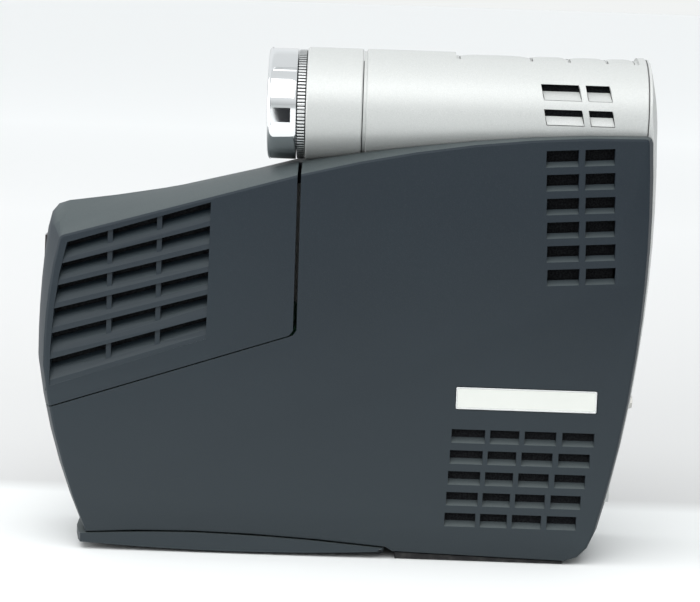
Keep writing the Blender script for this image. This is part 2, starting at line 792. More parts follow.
def case_cover(name, side):
    obj = place(name, case_half(side), slate())
    join(obj, pin_lug(side), "lug")
    cut(obj, tube_cutter(), "cradle")
    if side == NEAR:
        cut(obj, extrude_y(door_outline(1), -HALF_THICKNESS - OVERRUN, OVERRUN), "door_region")
        cut(obj, badge_block(GAP, BADGE_THICKNESS + GAP, OVERRUN), "badge_seat")
    cut(obj, panel_opening(), "panel_opening")
    cut(obj, case_slots(side), "slots")
    cut(obj, pin_hole(PIN_RADIUS + GAP), "pin_hole")
    if side == FAR:
        nose_cuts(obj)
    return obj


def badge_block(margin, depth, outward):
    x, z = case_point(BADGE_CENTRE_share)
    length = BADGE_LENGTH / 2 + margin
    height = BADGE_HEIGHT / 2 + margin
    outline = rounded([(x - length, z - height), (x - length, z + height),
                       (x + length, z + height), (x + length, z - height)], BADGE_ROUND + margin, EDGE_STEPS)
    return extrude_y(outline, -HALF_THICKNESS - outward, -HALF_THICKNESS + depth)


def badge_plate():
    return place("badge_plate", badge_block(0.0, BADGE_THICKNESS, 0.0), badge_finish())


def curved_panel(rows):
    """A plate crowned across its width. A row is (z, middle x, edge x, back x, half width)."""
    columns = PANEL_COLUMNS
    outer = []
    inner = []
    for z, middle, edge, back, width in rows:
        for column in range(columns):
            across = 2 * column / (columns - 1) - 1
            outer.append((middle + (edge - middle) * across * across, across * width, z))
            inner.append((back, across * width, z))
    points = outer + inner
    faces = []
    offset = len(outer)
    last_row = len(rows) - 1
    for row in range(last_row):
        for column in range(columns - 1):
            corner = row * columns + column
            square = (corner, corner + 1, corner + columns + 1, corner + columns)
            faces.append(square)
            faces.append(tuple(offset + index for index in reversed(square)))
        for column, turned in ((0, False), (columns - 1, True)):
            low = row * columns + column
            faces.append((low, low + columns, low + columns + offset, low + offset))
    for column in range(columns - 1):
        for corner in (column, last_row * columns + column):
            faces.append((corner, corner + 1, corner + 1 + offset, corner + offset))
    return mesh_of(points, faces)


def rear_panel():
    back_limit = TUBE_REAR_X + GAP
    low_z = PANEL_LOW_share * CASE_HEIGHT
    rows = []
    heights = [low_z] + [middle[1] for side, middle, crest, power in reversed(case_stations(REAR_ROWS))
                         if middle[1] > low_z + CASE_WALL]
    for z in heights:
        edge = rear_surface(z, PANEL_HALF_WIDTH)
        rows.append((z, rear_surface(z, 0.0), edge, min(back_limit, edge - PANEL_WALL), PANEL_HALF_WIDTH))
    top_z = heights[-1]
    start_middle = rows[-1][1]
    start_edge = rows[-1][2]
    end_middle = back_limit + PANEL_EDGE_LIFT
    start_angle = math.asin((top_z + PANEL_ROUND - AXIS_Z) / TUBE_RADIUS)
    end_angle = math.asin(PANEL_TOP_RISE / TUBE_RADIUS)
    for step in range(PANEL_CAP_STEPS + 1):
        share = step / PANEL_CAP_STEPS
        angle = start_angle + (end_angle - start_angle) * share
        z = AXIS_Z + TUBE_RADIUS * math.sin(angle)
        climb = (z - top_z) / (AXIS_Z + PANEL_TOP_RISE - top_z)
        middle = start_middle + (end_middle - start_middle) * climb * climb
        if step == PANEL_CAP_STEPS:
            middle = back_limit + PANEL_EDGE_LIFT / 2
        taper = min(1.0, climb / PANEL_TAPER_share)
        edge = start_edge + (back_limit + PANEL_EDGE_LIFT - start_edge) * taper
        rows.append((z, max(middle, back_limit + PANEL_EDGE_LIFT / 2), min(edge, middle),
                     back_limit, TUBE_RADIUS * math.cos(angle)))
    obj = place("rear_panel", curved_panel(rows), silver())
    cut(obj, socket_blocks(GAP, OVERRUN), "sockets")
    return obj


def socket_places():
    """Each socket: name, z share, y, half width, half height."""
    return (("power_inlet", POWER_Z_share, 0.0, POWER_SIZE[0] / 2, POWER_SIZE[1] / 2),
            ("video_socket", VIDEO_Z_share, 0.0, VIDEO_SIZE[0] / 2, VIDEO_SIZE[1] / 2),
            ("digital_socket", DIGITAL_Z_share, 0.0, DIGITAL_SIZE[0] / 2, DIGITAL_SIZE[1] / 2),
            ("usb_socket", USB_Z_share, SMALL_SOCKET_Y, USB_SIZE[0] / 2, USB_SIZE[1] / 2))


def socket_face(z, half_height):
    """The x of a socket's flat outer face, a little below the crowned panel round it."""
    low = rear_surface(z - half_height, HALF_THICKNESS / 2)
    high = rear_surface(z + half_height, 0.0)
    return min(low, high) - SOCKET_SUNK


def socket_blocks(margin, outward):
    blocks = []
    for name, z_share, y, half_width, half_height in socket_places():
        z = z_share * CASE_HEIGHT
        blocks.append(block((socket_face(z, half_height) - SOCKET_DEPTH, y - half_width - margin,
                             z - half_height - margin),
                            (HALF_LENGTH + outward, y + half_width + margin, z + half_height + margin)))
    audio_z = USB_Z_share * CASE_HEIGHT
    blocks.append(rod_along("X", (-SMALL_SOCKET_Y, audio_z), AUDIO_RADIUS + margin,
                            socket_face(audio_z, AUDIO_RADIUS) - SOCKET_DEPTH, HALF_LENGTH + outward,
                            MEDIUM_STEPS))
    return several(blocks)


def trapezium(half_width, half_height, taper, z):
    return [(-half_width, z + half_height), (half_width, z + half_height),
            (half_width - taper, z - half_height), (taper - half_width, z - half_height)]


def sockets():
    for name, z_share, y, half_width, half_height in socket_places():
        z = z_share * CASE_HEIGHT
        face = socket_face(z, half_height)
        obj = place(name, block((face - SOCKET_DEPTH, y - half_width, z - half_height),
                                (face, y + half_width, z + half_height)), black())
        if name == "power_inlet":
            rim = POWER_RIM
            cut(obj, block((face - SOCKET_DEPTH + rim, y - half_width + rim, z - half_height + rim),
                           (face + OVERRUN, y + half_width - rim, z + half_height - rim)), "mouth")
        if name == "video_socket":
            shell = trapezium(VIDEO_SHELL[0] / 2, VIDEO_SHELL[1] / 2, VIDEO_SHELL_TAPER, z)
            join(obj, extrude_x(shell, face - PANEL_WALL, face + VIDEO_SHELL_STANDS), "shell")
            for side in (NEAR, FAR):
                nut = rod_along("X", (side * VIDEO_NUT_OFFSET, z), VIDEO_NUT_RADIUS, face - PANEL_WALL,
                                face + VIDEO_NUT_STANDS, NUT_SIDES)
                join(obj, nut, f"nut_{side + 1}")
        if name in ("digital_socket", "usb_socket"):
            mouth = block((face - SOCKET_MOUTH, y - half_width + SOCKET_RIM, z - half_height + SOCKET_RIM),
                          (face + OVERRUN, y + half_width - SOCKET_RIM, z + half_height - SOCKET_RIM))
            cut(obj, mouth, "mouth")
    z = USB_Z_share * CASE_HEIGHT
    face = socket_face(z, AUDIO_RADIUS)
    jack = turn_x([(face - SOCKET_DEPTH, AUDIO_BORE), (face - SOCKET_DEPTH, AUDIO_RADIUS),
                   (face, AUDIO_RADIUS), (face, AUDIO_BORE)], (-SMALL_SOCKET_Y, z), LENS_STEPS)
    place("audio_jack", jack, black())


# The lens rings, the barrel in them and the glass that they move.
RING_STEPS = 40
BARREL_RADIUS = 17.5 * MM
BARREL_BORE = 15.5 * MM
BARREL_REAR_BORE = 12.3 * MM
BARREL_SET_BACK = 5.9 * MM
BARREL_LENGTH = 60.0 * MM
BARREL_STEP = 10.0 * MM
FLANGE_THICKNESS = 3.0 * MM
BARREL_FRONT_X = RING_FRONT_X + BARREL_SET_BACK
FLANGE_REAR_X = BARREL_FRONT_X + BARREL_LENGTH
FLANGE_FRONT_X = FLANGE_REAR_X - FLANGE_THICKNESS
BARREL_STEP_X = FLANGE_REAR_X - BARREL_STEP
KNURL_RIDGES = 48
KNURL_RADIUS = 21.2 * MM
KNURL_DEPTH = 0.45 * MM
RING_ROUND = 1.5 * MM
RING_MOUTH_RADIUS = 20.0 * MM
RING_MOUTH_DEPTH = 5.0 * MM
RING_LIP = 1.2 * MM
GRIP_COUNT = 4
GRIP_DEPTH = 1.0 * MM
GRIP_FRONT_RIM = 1.2 * MM
GRIP_REAR_RIM = 0.7 * MM
GRIP_PHASE_DEGREES = -80
GRIP_SPAN_DEGREES = 63
GRIP_RAMP_DEGREES = 7
GRIP_STEPS = 14
FRONT_CELL_LENGTH = 14.0 * MM
FRONT_CELL_WALL = 1.9 * MM
FRONT_CELL_SET_BACK = 3.4 * MM
FRONT_LENS_THICKNESS = 6.5 * MM
FRONT_LENS_SAG = 2.2 * MM
FRONT_LENS_SET_BACK = 1.2 * MM
ZOOM_CELL_SET_BACK = 19.0 * MM
ZOOM_CELL_FRONT_X = BARREL_FRONT_X + ZOOM_CELL_SET_BACK
ZOOM_CELL_LENGTH = 12.0 * MM
ZOOM_CELL_WALL = 4.2 * MM
ZOOM_LENS_THICKNESS = 7.0 * MM
ZOOM_LENS_SAG = 1.8 * MM
REAR_LENS_THICKNESS = 5.0 * MM
REAR_LENS_SAG = 1.5 * MM
FOCUS_TURN_DEGREES = 90
FOCUS_TRAVEL = 2.0 * MM
ZOOM_TURN_DEGREES = 60
ZOOM_TRAVEL = 8.0 * MM
COLLAR_WEB = 2.0 * MM
TUBE_STEPS = 40
BARREL_STEPS = 28
LENS_STEPS = 20
LENS_LEVELS = 3
BEVEL_SMALL = 0.4 * MM

AXIS = (0.0, AXIS_Z)


def pipe(front, rear, outer, inner, steps):
    return turn_x([(front, inner), (front, outer), (rear, outer), (rear, inner)], AXIS, steps)


def lens_solid(front, thickness, sag, radius, steps):
    """A glass element with two bulging faces, built as rings about the lens axis."""
    rings = []
    levels = LENS_LEVELS
    for face, direction in ((front, -1), (front + thickness, 1)):
        part = []
        for level in range(levels):
            share = (level + 1) / levels
            height = sag * (1 - share * share)
            x = face + direction * (height - sag)
            reach = radius * share
            angles = [math.tau * turn / steps for turn in range(steps)]
            part.append([(x, reach * math.sin(angle), AXIS_Z + reach * math.cos(angle)) for angle in angles])
        rings.extend(part if direction < 0 else reversed(part))
    return loft(rings)


def grip_cutter(number, front, rear):
    """One finger grip: a shallow band round part of the ring, with a ramp up to the skin at each end."""
    middle = math.radians(GRIP_PHASE_DEGREES) + math.tau * number / GRIP_COUNT
    half_span = math.radians(GRIP_SPAN_DEGREES) / 2
    ramp = math.radians(GRIP_RAMP_DEGREES)
    reach = half_span + ramp / 2
    rings = []
    for step in range(GRIP_STEPS + 1):
        turn = reach * (2 * step / GRIP_STEPS - 1)
        depth = GRIP_DEPTH * min(1.0, (half_span - abs(turn)) / ramp)
        angle = middle + turn
        rings.append([(x, radius * math.sin(angle), AXIS_Z + radius * math.cos(angle))
                      for x, radius in ((front, TUBE_RADIUS - depth), (rear, TUBE_RADIUS - depth),
                                        (rear, TUBE_RADIUS + OVERRUN), (front, TUBE_RADIUS + OVERRUN))])
    return loft(rings)


def focus_ring():
    front = RING_FRONT_X
    rear = COLLAR_FRONT_X - KNURL_WIDTH - 2 * GAP
    bore = BARREL_RADIUS + GAP
    mouth_end = BARREL_FRONT_X - GAP
    ring_shoulder = RING_ROUND * (1 - math.sin(math.radians(45)))
    profile = [(front, RING_MOUTH_RADIUS), (front, TUBE_RADIUS - RING_ROUND),
               (front + ring_shoulder, TUBE_RADIUS - ring_shoulder), (front + RING_ROUND, TUBE_RADIUS),
               (rear - BEVEL_SMALL, TUBE_RADIUS), (rear, TUBE_RADIUS - BEVEL_SMALL), (rear, bore),
               (mouth_end, bore), (mouth_end, BARREL_BORE + GAP / 2),
               (mouth_end - RING_LIP, BARREL_BORE + GAP / 2), (mouth_end - RING_LIP, BARREL_RADIUS)]
    obj = place("focus_ring", turn_x(profile, AXIS, RING_STEPS), chrome(), (front, 0.0, AXIS_Z))
    grips = [grip_cutter(number, front + GRIP_FRONT_RIM, rear - GRIP_REAR_RIM)
             for number in range(GRIP_COUNT)]
    cut(obj, several(grips), "grips")
    return obj


def zoom_ring():
    """The knurled ring: pointed ridges round a plain bore."""
    front = COLLAR_FRONT_X - KNURL_WIDTH - GAP
    rear = COLLAR_FRONT_X - GAP
    bore = BARREL_RADIUS + GAP
    count = KNURL_RIDGES * 2
    rings = []
    for x, outside in ((front, True), (rear, True), (rear, False), (front, False)):
        ring = []
        for step in range(count):
            angle = math.tau * step / count
            radius = bore
            if outside:
                radius = KNURL_RADIUS if step % 2 else KNURL_RADIUS - KNURL_DEPTH
            ring.append((x, radius * math.sin(angle), AXIS_Z + radius * math.cos(angle)))
        rings.append(ring)
    return place("zoom_ring", loft(rings, closed=True), silver(), (front, 0.0, AXIS_Z))


def lens_group():
    bore = BARREL_RADIUS + GAP
    collar = [(COLLAR_FRONT_X, bore), (COLLAR_FRONT_X, TUBE_RADIUS - BEVEL_SMALL),
              (COLLAR_FRONT_X + BEVEL_SMALL, TUBE_RADIUS), (COLLAR_REAR_X - BEVEL_SMALL, TUBE_RADIUS),
              (COLLAR_REAR_X, TUBE_RADIUS - BEVEL_SMALL), (COLLAR_REAR_X, TUBE_BORE),
              (COLLAR_FRONT_X + COLLAR_WEB, TUBE_BORE), (COLLAR_FRONT_X + COLLAR_WEB, bore)]
    place("lens_collar", turn_x(collar, AXIS, TUBE_STEPS), silver())
    barrel = [(BARREL_FRONT_X, BARREL_BORE), (BARREL_FRONT_X, BARREL_RADIUS),
              (FLANGE_FRONT_X, BARREL_RADIUS), (FLANGE_FRONT_X, TUBE_BORE - GAP),
              (FLANGE_REAR_X, TUBE_BORE - GAP), (FLANGE_REAR_X, BARREL_REAR_BORE),
              (BARREL_STEP_X, BARREL_REAR_BORE), (BARREL_STEP_X, BARREL_BORE)]
    place("lens_barrel", turn_x(barrel, AXIS, BARREL_STEPS), black())
    cell_radius = BARREL_BORE - GAP
    cell_front = RING_FRONT_X + FRONT_CELL_SET_BACK
    cell_rear = cell_front + FRONT_CELL_LENGTH
    lens_radius = cell_radius - FRONT_CELL_WALL
    lip = lens_radius - FRONT_CELL_WALL / 2
    lens_front = cell_front + FRONT_LENS_SET_BACK + FRONT_LENS_SAG
    lens_rear = lens_front + FRONT_LENS_THICKNESS
    cell = [(cell_front, lens_radius + GAP), (cell_front, cell_radius), (cell_rear, cell_radius),
            (cell_rear, lip), (lens_rear + GAP, lip), (lens_rear + GAP, lens_radius + GAP)]
    place("front_lens_cell", turn_x(cell, AXIS, BARREL_STEPS), black(), (cell_front, 0.0, AXIS_Z))
    front_glass = lens_solid(lens_front, FRONT_LENS_THICKNESS, FRONT_LENS_SAG, lens_radius, LENS_STEPS)
    place("front_lens", front_glass, glass(), (lens_front, 0.0, AXIS_Z))
    zoom_front = ZOOM_CELL_FRONT_X
    zoom_rear = zoom_front + ZOOM_CELL_LENGTH
    zoom_bore = cell_radius - ZOOM_CELL_WALL
    place("zoom_cell", pipe(zoom_front, zoom_rear, cell_radius, zoom_bore, BARREL_STEPS), black(),
          (zoom_front, 0.0, AXIS_Z))
    zoom_glass = lens_solid(zoom_front + ZOOM_LENS_SAG, ZOOM_LENS_THICKNESS, ZOOM_LENS_SAG, zoom_bore - GAP,
                            LENS_STEPS)
    place("zoom_lens", zoom_glass, glass(), (zoom_front, 0.0, AXIS_Z))
    rear_front = BARREL_STEP_X + REAR_LENS_SAG
    rear_glass = lens_solid(rear_front, REAR_LENS_THICKNESS, REAR_LENS_SAG, BARREL_REAR_BORE - GAP,
                            LENS_STEPS)
    place("rear_lens", rear_glass, glass())


# The light engine: prism and picture chip in the tube, lamp and mirrors below.
ENGINE_Y = 1.5 * MM
PRISM_SIDE = 14.0 * MM
CHIP_THICKNESS = 2.0 * MM
CHIP_HALF = 6.5 * MM
CHIP_BOARD_RADIUS = 15.8 * MM
CHIP_BOARD_THICKNESS = 1.6 * MM
SINK_LENGTH = 20.0 * MM
SINK_RADIUS = 14.5 * MM
SINK_BASE = 3.0 * MM
SINK_FINS = 6
SINK_SLOT_share = 0.6
TUBE_PORT_HALF = 8.0 * MM
PATH_CLEARANCE = 1.2 * MM
PLATE_Y = 15.5 * MM
PLATE_THICKNESS = 1.6 * MM
MIRROR_THICKNESS = 1.6 * MM
MIRROR_LENGTH = 16.0 * MM
MIRROR_NEAR_Y = -11.0 * MM
LAMP_X_share = -0.655
LAMP_TOP_CLEARANCE = 21.0 * MM
LAMP_RADIUS = 17.6 * MM
LAMP_DEPTH = 26.0 * MM
LAMP_SKIN = 2.0 * MM
REFLECTOR_STEPS = 4
LAMP_NECK_RADIUS = 5.6 * MM
LAMP_NECK_LENGTH = 7.0 * MM
BURNER_RADIUS = 2.6 * MM
BURNER_BULB_RADIUS = 5.0 * MM
BULB_share = 0.42
CASSETTE_WALL = 1.6 * MM
CASSETTE_NEAR_Y = -18.6 * MM
CASSETTE_TOP_CLEARANCE = 2.0 * MM
CASSETTE_WINDOW_MARGIN = 5.0 * MM
WHEEL_CLEARANCE = 3.0 * MM
WHEEL_RADIUS = 12.8 * MM
WHEEL_THICKNESS = 1.2 * MM
WHEEL_HUB_RADIUS = 4.0 * MM
WHEEL_DROP = 9.0 * MM
MOTOR_RADIUS = 6.0 * MM
MOTOR_LENGTH = 6.5 * MM
MOTOR_EAR_HALF = 3.0 * MM
ROD_CLEARANCE = 0.9 * MM
ROD_LENGTH = 26.0 * MM
ROD_HALF = 2.6 * MM
ROD_HOLDER_LENGTH = 15.0 * MM
ROD_HOLDER_HALF = 5.2 * MM
RELAY_X_share = -0.060
RELAY_RADIUS = 8.0 * MM
RELAY_THICKNESS = 4.0 * MM
RELAY_HOLDER_HALF = 10.0 * MM
RELAY_HOLDER_THICKNESS = 5.0 * MM


def tilted_plate(name, x, z, sign, finish):
    """A mirror plate at 45 degrees, seated by its far edge against the chassis plate."""
    half = MIRROR_LENGTH / 2 * math.sin(math.radians(45))
    lean = MIRROR_THICKNESS * math.sin(math.radians(45))
    outline = [(x - half, z - sign * half), (x + half, z + sign * half),
               (x + half - lean, z + sign * half + sign * lean),
               (x - half - lean, z - sign * half + sign * lean)]
    place(name, extrude_y(outline, MIRROR_NEAR_Y, PLATE_Y - GAP), finish)


def path_height():
    """The height of the light path: the lamp's mirror just clears the case's shoulder above it."""
    reach = MIRROR_LENGTH / 2 * math.sin(math.radians(45)) + MIRROR_THICKNESS
    shoulder = outline_height(LAMP_X_share * HALF_LENGTH + reach, SHOULDER_ROW)
    return shoulder - CASE_WALL - PATH_CLEARANCE - reach


def cassette_rear():
    return LAMP_X_share * HALF_LENGTH + LAMP_RADIUS + GAP + CASSETTE_WALL


def wheel_front():
    return cassette_rear() + WHEEL_CLEARANCE


def rod_front():
    return wheel_front() + WHEEL_THICKNESS + GAP * 4 + MOTOR_LENGTH + ROD_CLEARANCE


def light_engine():
    front = FLANGE_REAR_X + GAP
    half = PRISM_SIDE / 2
    prism = block((front, -half, AXIS_Z - half), (front + PRISM_SIDE, half, AXIS_Z + half))
    place("prism_block", prism, glass())
    chip = front + PRISM_SIDE + GAP
    place("picture_chip", block((chip, -CHIP_HALF, AXIS_Z - CHIP_HALF),
                                (chip + CHIP_THICKNESS, CHIP_HALF, AXIS_Z + CHIP_HALF)), black())
    plate = chip + CHIP_THICKNESS + GAP
    disc = rod_along("X", AXIS, CHIP_BOARD_RADIUS, plate, plate + CHIP_BOARD_THICKNESS, FINE_STEPS)
    place("chip_board", disc, board())
    sink = plate + CHIP_BOARD_THICKNESS + GAP
    drum = rod_along("X", AXIS, SINK_RADIUS, sink, sink + SINK_LENGTH, BARREL_STEPS)
    obj = place("heat_sink", drum, alloy())
    pitch = 2 * SINK_RADIUS / SINK_FINS
    slots = []
    for number in range(SINK_FINS):
        middle = -SINK_RADIUS + pitch * (number + 1 / 2)
        half = pitch * SINK_SLOT_share / 2
        slots.append(block((sink + SINK_BASE, middle - half, AXIS_Z - SINK_RADIUS - OVERRUN),
                           (sink + SINK_LENGTH + OVERRUN, middle + half, AXIS_Z + SINK_RADIUS + OVERRUN)))
    cut(obj, several(slots), "fin_slots")
    path_z = path_height()
    tilted_plate("fold_mirror", front + half, path_z, 1, mirror())
    tilted_plate("lamp_mirror", LAMP_X_share * HALF_LENGTH, path_z, 1, mirror())
    rod_x = rod_front()
    place("light_rod", block((rod_x, ENGINE_Y - ROD_HALF, path_z - ROD_HALF),
                             (rod_x + ROD_LENGTH, ENGINE_Y + ROD_HALF, path_z + ROD_HALF)), glass())
    holder_x = rod_x + (ROD_LENGTH - ROD_HOLDER_LENGTH) / 2
    holder = block((holder_x, ENGINE_Y - ROD_HOLDER_HALF, path_z - ROD_HOLDER_HALF),
                   (holder_x + ROD_HOLDER_LENGTH, PLATE_Y - GAP, path_z + ROD_HOLDER_HALF))
    obj = place("rod_holder", holder, alloy())
    bore = ROD_HALF + GAP
    cut(obj, block((rod_x - OVERRUN, ENGINE_Y - bore, path_z - bore),
                   (rod_x + ROD_LENGTH + OVERRUN, ENGINE_Y + bore, path_z + bore)), "rod_bore")
    relay_x = RELAY_X_share * HALF_LENGTH
    obj = place("relay_holder", block((relay_x, ENGINE_Y - RELAY_HOLDER_HALF, path_z - RELAY_HOLDER_HALF),
                                      (relay_x + RELAY_HOLDER_THICKNESS, PLATE_Y - GAP,
                                       path_z + RELAY_HOLDER_HALF)), alloy())
    centre = (ENGINE_Y, path_z)
    cut(obj, rod_along("X", centre, RELAY_RADIUS + GAP, relay_x - OVERRUN,
                       relay_x + RELAY_HOLDER_THICKNESS + OVERRUN, BARREL_STEPS), "lens_bore")
    rim = (RELAY_HOLDER_THICKNESS - RELAY_THICKNESS) / 2
    place("relay_lens", rod_along("X", centre, RELAY_RADIUS, relay_x + rim,
                                  relay_x + rim + RELAY_THICKNESS, MEDIUM_STEPS), glass())
    colour_wheel(path_z)
    lamp(path_z)


def colour_wheel(path_z):
    x = wheel_front()
    centre = (ENGINE_Y, path_z - WHEEL_DROP)
    motor_x = x + WHEEL_THICKNESS + GAP * 4
    disc = rod_along("X", centre, WHEEL_RADIUS, x, x + WHEEL_THICKNESS, FINE_STEPS)
    wheel = place("colour_wheel", disc, glass(), (x, ENGINE_Y, path_z - WHEEL_DROP))
    hub = rod_along("X", centre, WHEEL_HUB_RADIUS, x + WHEEL_THICKNESS / 2, motor_x - GAP, COARSE_STEPS)
    join(wheel, hub, "hub")
    can = rod_along("X", centre, MOTOR_RADIUS, motor_x, motor_x + MOTOR_LENGTH, MEDIUM_STEPS)
    motor = place("wheel_motor", can, black())
    ear = MOTOR_EAR_HALF
    join(motor, block((motor_x + BEVEL_SMALL, ENGINE_Y, centre[1] - ear),
                      (motor_x + MOTOR_LENGTH - BEVEL_SMALL, PLATE_Y - GAP, centre[1] + ear)), "ear")


def lamp(path_z):
    """The replaceable lamp: a reflector in a square cassette, with its burner up the middle."""
    x = LAMP_X_share * HALF_LENGTH
    top = path_z - LAMP_TOP_CLEARANCE
    low = top - LAMP_DEPTH
    middle_y = CASSETTE_NEAR_Y + CASSETTE_WALL + GAP + LAMP_RADIUS
    reach = LAMP_RADIUS + GAP + CASSETTE_WALL
    floor = low - LAMP_NECK_LENGTH
    far = INNER_Y - GAP
    obj = place("lamp_cassette", block((x - reach, CASSETTE_NEAR_Y, floor), (x + reach, far, top)), black())
    inner = LAMP_RADIUS + GAP
    cut(obj, block((x - inner, middle_y - inner, floor - OVERRUN),
                   (x + inner, middle_y + inner, top + OVERRUN)), "bay")
    margin = CASSETTE_WINDOW_MARGIN
    cut(obj, block((x - reach + margin, CASSETTE_NEAR_Y - OVERRUN, floor + margin),
                   (x + reach - margin, middle_y, top - margin)), "air_window")
    steps = REFLECTOR_STEPS
    outer = []
    inside = []
    for step in range(steps + 1):
        share = step / steps
        radius = LAMP_NECK_RADIUS + (LAMP_RADIUS - LAMP_NECK_RADIUS) * share
        height = low + LAMP_DEPTH * share * share
        outer.append((radius, height))
        inside.append((radius - LAMP_SKIN, height + (LAMP_SKIN * (1 - share))))
    neck_bore = BURNER_RADIUS + GAP
    profile = [(neck_bore, floor), (LAMP_NECK_RADIUS, floor)] + outer + list(reversed(inside))
    profile.append((neck_bore, inside[0][1]))
    place("lamp_reflector", turn_z(profile, (x, middle_y), LENS_STEPS), alloy())
    bulb = low + LAMP_DEPTH * BULB_share
    shape = [(BURNER_RADIUS, floor), (BURNER_RADIUS, bulb - BURNER_BULB_RADIUS), (BURNER_BULB_RADIUS, bulb),
             (BURNER_RADIUS, bulb + BURNER_BULB_RADIUS), (BURNER_RADIUS, top - LAMP_SKIN)]
    place("lamp_burner", turn_z(shape, (x, middle_y), PIN_STEPS, capped=True), glass())


def turn_z(profile, centre, steps, capped=False):
    """Turn (radius, z) points about an upright line: a closed profile, or a capped open one."""
    if capped:
        return loft([[(centre[0] + radius * math.cos(math.tau * turn / steps),
                       centre[1] + radius * math.sin(math.tau * turn / steps), z) for turn in range(steps)]
                     for radius, z in profile])
    rings = []
    for step in range(steps):
        angle = math.tau * step / steps
        rings.append([(centre[0] + radius * math.cos(angle), centre[1] + radius * math.sin(angle), z)
                      for radius, z in profile])
    return loft(rings, closed=True)


# Fans: a square frame with a round duct, three struts and a motor seat; a hub with swept blades.
INTAKE_SIDE = 50.0 * MM
INTAKE_DEPTH = 14.0 * MM
INTAKE_LIFT = 4.5 * MM
INTAKE_REAR_CLEARANCE = 2.6 * MM
LAMP_FAN_SIDE = 34.4 * MM
LAMP_FAN_DEPTH = 10.0 * MM
LAMP_FAN_CLEARANCE = 8.1 * MM
FAN_RIM = 2.0 * MM
FAN_TIP_GAP = 0.9 * MM
FAN_HUB_share = 0.44
FAN_BLADES = 7
FAN_TWIST_DEGREES = 34
FAN_LEVELS = 2
FAN_BLADE_shares = ((0.44, 0.00), (0.72, 0.11), (1.00, 0.29), (1.00, 0.54), (0.72, 0.40), (0.44, 0.40),
                    (0.44, 0.60), (0.44, 0.80))
FAN_SEAT_THICKNESS = 2.0 * MM
FAN_STRUTS = 3
FAN_STRUT_PHASE_DEGREES = 15
FAN_STRUT_WIDTH = 3.0 * MM
FAN_STRUT_SET_BACK = 0.4 * MM


def fan_rotor_mesh(radius, depth, blades):
    """Blades and hub in one twisted extrusion, along +Z from zero, so that the blades are pitched."""
    outline = []
    per_blade = math.tau / blades
    for number in range(blades):
        start = per_blade * number
        for reach_share, turn_share in FAN_BLADE_shares:
            angle = start + turn_share * per_blade
            reach = radius * reach_share
            outline.append((reach * math.cos(angle), reach * math.sin(angle)))
    rings = []
    for level in range(FAN_LEVELS + 1):
        turn = math.radians(FAN_TWIST_DEGREES) * level / FAN_LEVELS
        rings.append([(x * math.cos(turn) - y * math.sin(turn), x * math.sin(turn) + y * math.cos(turn),
                       depth * level / FAN_LEVELS) for x, y in outline])
    return loft(rings)


def fan(prefix, centre, side, depth, axis, direction):
    """A fan whose motor seat is at the end that its axis points away from."""
    bore = side / 2 - FAN_RIM
    turned = {"Y": Matrix.Rotation(math.radians(-90), 4, "X"),
              "X": Matrix.Rotation(math.radians(90), 4, "Y")}[axis]
    if direction < 0:
        turned = turned @ Matrix.Rotation(math.radians(180), 4, "X")
    where = Matrix.Translation(centre) @ turned
    half = side / 2
    frame_mesh = block((-half, -half, 0.0), (half, half, depth))
    frame_mesh.transform(where)
    frame = place(prefix + "_frame", frame_mesh, black())
    duct = rod_along("Z", (0.0, 0.0), bore, -OVERRUN, depth + OVERRUN, FINE_STEPS)
    duct.transform(where)
    cut(frame, duct, "duct")
    hub = bore * FAN_HUB_share
    for number in range(FAN_STRUTS):
        angle = math.tau * number / FAN_STRUTS + math.radians(FAN_STRUT_PHASE_DEGREES)
        strut = block((hub / 2, -FAN_STRUT_WIDTH / 2, FAN_STRUT_SET_BACK),
                      (bore + FAN_RIM / 2, FAN_STRUT_WIDTH / 2, FAN_SEAT_THICKNESS - FAN_STRUT_SET_BACK))
        strut.transform(where @ Matrix.Rotation(angle, 4, "Z"))
        join(frame, strut, f"strut_{number}")
    seat = rod_along("Z", (0.0, 0.0), hub, FAN_STRUT_SET_BACK / 2, FAN_SEAT_THICKNESS, LENS_STEPS)
    seat.transform(where)
    join(frame, seat, "seat")
    rotor_mesh = fan_rotor_mesh(bore - FAN_TIP_GAP, depth - FAN_SEAT_THICKNESS - 2 * GAP, FAN_BLADES)
    rotor_mesh.transform(where @ Matrix.Translation((0.0, 0.0, FAN_SEAT_THICKNESS + GAP)))
    place(prefix + "_rotor", rotor_mesh, black(), centre)


def lamp_fan_front():
    return cassette_rear() + LAMP_FAN_CLEARANCE


def fans():
    z = case_point(CASE_CURVE_shares[FLOOR_ROW][2])[1] + CASE_WALL + INTAKE_LIFT + INTAKE_SIDE / 2
    inlet_face = socket_face(POWER_Z_share * CASE_HEIGHT, POWER_SIZE[1] / 2)
    x = inlet_face - SOCKET_DEPTH - INTAKE_REAR_CLEARANCE - INTAKE_SIDE / 2
    fan("intake_fan", (x, GAP + INTAKE_DEPTH - INNER_Y, z), INTAKE_SIDE, INTAKE_DEPTH, "Y", -1)
    y = PLATE_Y - GAP - LAMP_FAN_SIDE / 2
    z = path_height() - LAMP_TOP_CLEARANCE - LAMP_FAN_SIDE / 2
    fan("lamp_fan", (lamp_fan_front(), y, z), LAMP_FAN_SIDE, LAMP_FAN_DEPTH, "X", 1)


